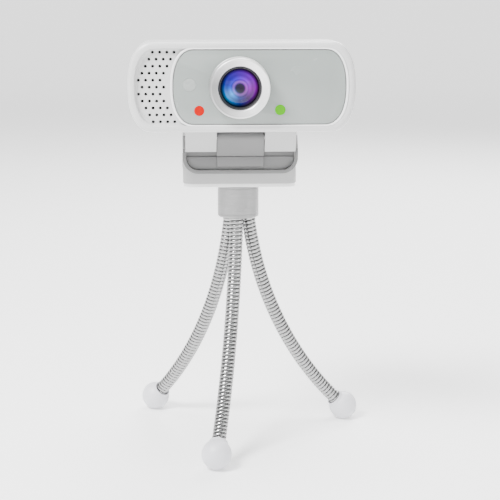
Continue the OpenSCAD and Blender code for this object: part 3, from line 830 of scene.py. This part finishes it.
def paint_groove_shade(hose, place, heading, side, start, radius, phase_start):
    """Painted shade: the bottoms of the grooves between turns of wire get a near-black finish where
    shade falls.
    """
    centre = arc_centre(place, heading, radius, start)
    up = (place(start) - centre).normalized()
    forward = heading(start)
    for face in hose.data.polygons:
        if len(face.vertices) > 4:
            continue
        middle = Vector(face.center)
        offset = middle - centre
        offset -= side * offset.dot(side)
        turn = start + math.atan2(offset.dot(forward), offset.dot(up))
        spot = middle - place(turn)
        other = heading(turn).cross(side)
        around = math.atan2(spot.dot(other), spot.dot(side))
        phase = (turn - phase_start) * radius / WIRE_PITCH - around / (2 * math.pi)
        # faces near the bottom of a groove take the painted shade
        if not GROOVE_SHADE_PHASE < phase % 1.0 < 1 - GROOVE_SHADE_PHASE:
            face.material_index = 1


def arc_centre(place, heading, radius, turn):
    """Centre of the leg's arc: one radius to the side that the arc bends to."""
    step = 0.001
    bend = (heading(turn + step) - heading(turn)).normalized()
    return place(turn) + bend * radius


def build_leg(name):
    """Two stretches of wound hose along the leg's arc, and the ball foot."""
    place, heading, first, last, radius, outward = leg_arc(name)
    side = outward.cross(Vector((0, 0, 1))).normalized()
    length = (last - first) * radius
    root_end = first + 26 * MM / radius
    middle = first + 30 * MM / radius
    plunge = 4.6 * MM / radius
    upper = wound_hose(name, "upper", place, heading, side, first - plunge, middle, radius, first)
    lower = wound_hose(name, "lower", place, heading, side, middle, last - 1 * MM / radius, radius,
                       first)
    for hose, node in ((upper, "hose_upper_" + name), (lower, "hose_lower_" + name)):
        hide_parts(node)
    tuple(place(first))
    tuple(place(root_end))
    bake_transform(upper)
    bend_start = first + 34 * MM / radius
    bend_end = last - (length * 0.14) / radius
    tuple(place(bend_start))
    tuple(place(bend_end))
    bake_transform(lower)

    profile = [(0.0, 0.5 * MM), (HOSE_R + 0.25 * MM, 0.5 * MM), (HOSE_R + 0.25 * MM, 6.2 * MM),
               (HOSE_R + 0.5 * MM, 6.45 * MM), (HOSE_R + 0.85 * MM, 6.3 * MM),
               (HOSE_R + 1.0 * MM, 5.8 * MM)]
    neck = math.degrees(math.asin(4.2 * MM / FOOT_R))
    steps = 40
    for step in range(steps + 1):
        turn = math.radians(neck + (180 - neck) * step / steps)
        profile.append((FOOT_R * math.sin(turn), FOOT_R * math.cos(turn)))
    ball = revolve("foot_%s_ball" % name, profile, place(last), -heading(last), FOOT, 64,
                   closed=False, sharp=50.0)
    for vertex in ball.data.vertices:
        vertex.co.z = max(vertex.co.z, 0.0)
    stands_for(ball, "foot_" + name)


def build_collar():
    """Turned collar with chamfered rims, and a socket for each leg in its underside."""
    low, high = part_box("collar")
    x, y, _ = box_mid("collar")
    radius = (high[0] - low[0]) / 2 / MM
    height = (high[2] - low[2]) / MM
    profile = [(0.0, 0.0), (radius - 0.9, 0.0), (radius - 0.35, 0.15), (radius, 0.6),
               (radius, 1.4), (radius - 0.12, 1.5), (radius - 0.12, 1.75), (radius, 1.85),
               (radius, height - 1.6), (radius - 0.12, height - 1.5), (radius - 0.12, height - 1.3),
               (radius, height - 1.2), (radius, height - 0.6), (radius - 0.3, height - 0.15),
               (radius - 0.8, height), (0.0, height)]
    collar = revolve("collar_turned", [(r * MM, z * MM) for r, z in profile], (x, y, low[2]),
                     (0, 0, 1), COLLAR, 96, closed=False, sharp=30.0)
    tools = []
    for name in LEG_NAMES:
        place, heading, first = leg_arc(name)[:3]
        mouth = place(first)
        along = heading(first)
        tools.append(rod("socket", HOSE_R + 0.1 * MM, mouth + along * 2 * MM,
                         mouth - along * 5.2 * MM))
    cut(collar, tools)
    finish_mesh(collar, COLLAR, 30.0)
    stands_for(collar, "collar")


# ---------------------------------------------------------------- put it together

def build_head():
    build_front_shell()
    build_rear_shell()
    build_panel()
    build_lens()
    build_lamp("red_lamp", RED)
    build_lamp("green_lamp", GREEN)
    build_lamp("light_window", CLEAR)
    build_felt()
    build_gland()
    for node in ("ring_seal", "board_chips", "image_sensor"):
        paint(node, BLACK)
    # the inner glass takes the same painted, glowing reflection
    for node in ("inner_lens", "rear_lens", "ir_filter"):
        paint(node, LENS_REFLECTION_PAINT)
    paint("main_board", BOARD)
    for node in ("shell_screws", "microphone", "swivel_washer", "swivel_screw", "tilt_pin",
                 "hinge_pin", "base_screws", "tripod_stud"):
        paint(node, STEEL)


def paint_tongue_shade(piece):
    """The strip between the bracket's flaps gets the inlay's darker grey, which also stands in as
    painted shade of the recess between the flaps.
    """
    axis_x, axis_y, _ = box_mid("tilt_pin")
    piece.data.materials.append(INLAY)
    for face in piece.data.polygons:
        inside = abs(face.center.x - axis_x) < 10.25 * MM
        if inside and face.center.y < axis_y + 7 * MM and face.center.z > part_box("lip_inlay")[0][2]:
            # painted shade: the recessed strip's faces take the darker inlay grey
            face.material_index = 1


def build_clip():
    """The clip, bracket and base block: the frame's own shapes with rounded edges."""
    for node, width, material in (
            ("tilt_bracket", 0.25 * MM, BRACKET), ("clip_frame", 0.45 * MM, CLIP),
            ("lip_inlay", 0.3 * MM, INLAY), ("lip_pad", 0.2 * MM, PAD),
            ("arm_pad", 0.3 * MM, PAD), ("hinge_sleeve", 0.3 * MM, SLEEVE),
            ("base_shell", 0.5 * MM, CLIP), ("base_pad", 0.3 * MM, BASE_PAD),
            ("base_floor", 0.6 * MM, FLOOR_WHITE), ("hinge_caps", 0.15 * MM, CLIP),
            ("stud_washer", 0.2 * MM, PAD)):
        piece = softened(node, width, material)
        if node == "clip_frame":
            # the clip's strip between the flaps gets painted shade in the inlay's grey
            paint_tongue_shade(piece)
    paint("thread_insert", BRASS)
    paint("ballast_plate", BALLAST)


def build_tripod():
    build_collar()
    for name in LEG_NAMES:
        build_leg(name)


def studio_paper():
    """Matt white paper, lit a little more away from the middle so that it stays even."""
    maker = Maker("studio_paper")
    speckled(maker, grey(0.88), 0.01, 3.0)
    maker.bump(maker.noise(300.0), 0.3, 0.05 * MM)
    far = maker.node("ShaderNodeVectorMath", operation="LENGTH")
    maker.join(maker.coords, far.inputs[0])
    lift = maker.node("ShaderNodeMapRange")
    for slot, value in (("From Min", 0.4), ("From Max", 2.6), ("To Min", 0.60), ("To Max", 1.05)):
        lift.inputs[slot].default_value = value
    maker.join(far.outputs["Value"], lift.inputs["Value"])
    maker.join(lift.outputs["Result"], maker.shader.inputs["Emission Strength"])
    maker.shader.inputs["Emission Color"].default_value = (1, 1, 1, 1)
    maker.set(Roughness=0.85)
    return maker.material


def build_studio():
    """Seamless pale bowl, and soft lights from above, left and behind."""
    flat, bend = 2.2, 1.3
    profile = [(0.0, 0.0), (flat, 0.0)]
    steps = 16
    for step in range(1, steps + 1):
        turn = math.radians(90 * step / steps)
        profile.append((flat + bend * math.sin(turn), bend * (1 - math.cos(turn))))
    verts = []
    sides = 96
    for radius, height in profile[1:]:
        for side in range(sides):
            turn = 2 * math.pi * side / sides
            verts.append((radius * math.cos(turn), radius * math.sin(turn), height))
    faces = [tuple(range(sides))]
    for ring in range(len(profile) - 2):
        for side in range(sides):
            nxt = (side + 1) % sides
            low, high = ring * sides, (ring + 1) * sides
            faces.append((low + side, high + side, high + nxt, low + nxt))
    paper = studio_paper()
    mesh = bpy.data.meshes.new("studio_bowl")
    mesh.from_pydata(verts, [], faces)
    mesh.shade_smooth()
    mesh.materials.append(paper)
    bowl = bpy.data.objects.new("studio_bowl", mesh)
    bpy.context.scene.collection.objects.link(bowl)

    world = bpy.data.worlds.new("studio")
    bpy.context.scene.world = world
    world.use_nodes = True
    world.node_tree.nodes["Background"].inputs["Color"].default_value = (1, 1, 1, 1)
    world.node_tree.nodes["Background"].inputs["Strength"].default_value = 0.50

    aim = Vector((0.0, 0.0, 0.10))
    for name, place, size, power in (
            ("key", (-0.55, -0.50, 0.95), 0.40, 34.0), ("fill", (0.95, -0.55, 0.35), 0.4, 3.0),
            ("rim", (0.35, 0.85, 0.75), 0.5, 14.0), ("top", (0.05, 0.05, 1.1), 0.5, 12.0)):
        light = bpy.data.lights.new(name, "AREA")
        light.size = size
        light.energy = power
        lamp = bpy.data.objects.new(name, light)
        bpy.context.scene.collection.objects.link(lamp)
        lamp.location = place
        lamp.rotation_euler = (aim - Vector(place)).to_track_quat("-Z", "Y").to_euler()


def build_camera():
    """In front of the head and a little above its middle, looking slightly down."""
    data = bpy.data.cameras.new("camera")
    camera = bpy.data.objects.new("camera", data)
    bpy.context.scene.collection.objects.link(camera)
    camera.location = (-0.028, -0.61, 0.207)
    aim = Vector((0.000, 0.0, 0.0885))
    camera.rotation_euler = (aim - camera.location).to_track_quat("-Z", "Y").to_euler()
    data.sensor_width = 36.0
    data.lens = 98.0
    data.clip_start = 0.01
    bpy.context.scene.camera = camera


build_camera()
build_head()
build_clip()
build_tripod()
build_studio()
